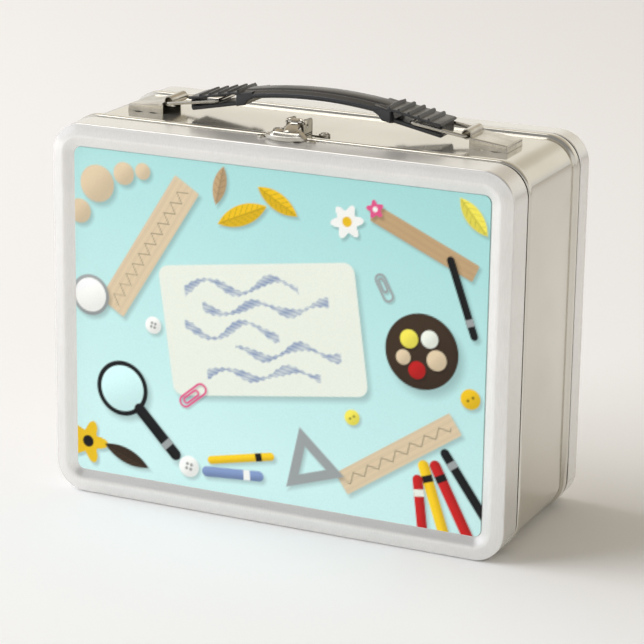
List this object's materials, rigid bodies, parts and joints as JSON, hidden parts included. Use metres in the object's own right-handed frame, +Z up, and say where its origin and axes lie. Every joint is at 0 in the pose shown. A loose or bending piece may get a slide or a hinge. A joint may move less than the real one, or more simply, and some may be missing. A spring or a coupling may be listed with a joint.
{
  "type": "lunch box",
  "caption": "Flat tin case with rounded corners: a front cover hinged at the base, a lift latch on top and an arched carrying handle that rises on two wire links.",
  "frame": {"origin": "middle of the width and the depth, on the plane the case stands on", "axes": "+X to the right seen from the front, +Y from the front cover to the back cover, +Z up towards the handle"},
  "size_m": [0.221, 0.0952, 0.1903],
  "materials": {
    "tinplate": "bare satin tin plate",
    "nickel_plate": "dull nickel plate on pressed steel",
    "grip_plastic": "dark grey moulded plastic, slightly worn",
    "printed_face": null
  },
  "bodies": {
    "case": {"body_band": "tinplate", "back_cover": "tinplate", "body_hinge_leaf_left": "nickel_plate", "body_hinge_leaf_right": "nickel_plate", "hinge_rivets": "nickel_plate", "hinge_pin_left": "nickel_plate", "hinge_pin_right": "nickel_plate", "handle_bracket_left": "nickel_plate", "handle_bracket_right": "nickel_plate", "latch_base_plate": "nickel_plate", "latch_box": "nickel_plate", "latch_pin": "nickel_plate", "latch_base_rivets": "nickel_plate"},
    "cover": {"front_cover": "tinplate", "front_print": "printed_face", "cover_hinge_leaf_left": "nickel_plate", "cover_hinge_leaf_right": "nickel_plate", "strike_plate": "nickel_plate", "strike_rivets": "nickel_plate"},
    "lever": {"latch_lever": "nickel_plate"},
    "grip": {"handle_grip": "grip_plastic"},
    "left_link": {"handle_link_left": "nickel_plate"},
    "right_link": {"handle_link_right": "nickel_plate"}
  },
  "joints": [
    {"name": "cover_hinge", "type": "hinge", "parent": "case", "child": "cover", "pos_m": [0, -0.03035, 0.0019], "axis": [1, 0, 0], "range_deg": [0, 100]},
    {"name": "latch_hinge", "type": "hinge", "parent": "case", "child": "lever", "pos_m": [-0.001, -0.0232, 0.1796], "axis": [-1, 0, 0], "range_deg": [0, 85]},
    {"name": "handle_lift", "type": "slide", "parent": "case", "child": "grip", "axis": [0, 0, 1], "range_m": [0, 0.02]},
    {"name": "left_link_hinge", "type": "hinge", "parent": "case", "child": "left_link", "pos_m": [-0.0724, 0, 0.1776], "axis": [0, -1, 0], "range_deg": [0, 49]},
    {"name": "right_link_hinge", "type": "hinge", "parent": "case", "child": "right_link", "pos_m": [0.0724, 0, 0.1776], "axis": [0, 1, 0], "range_deg": [0, 49]}
  ],
  "couplings": [
    {"joint": "left_link_hinge", "follows": "handle_lift", "rad_per_m": 42.666},
    {"joint": "right_link_hinge", "follows": "handle_lift", "rad_per_m": 42.666}
  ]
}
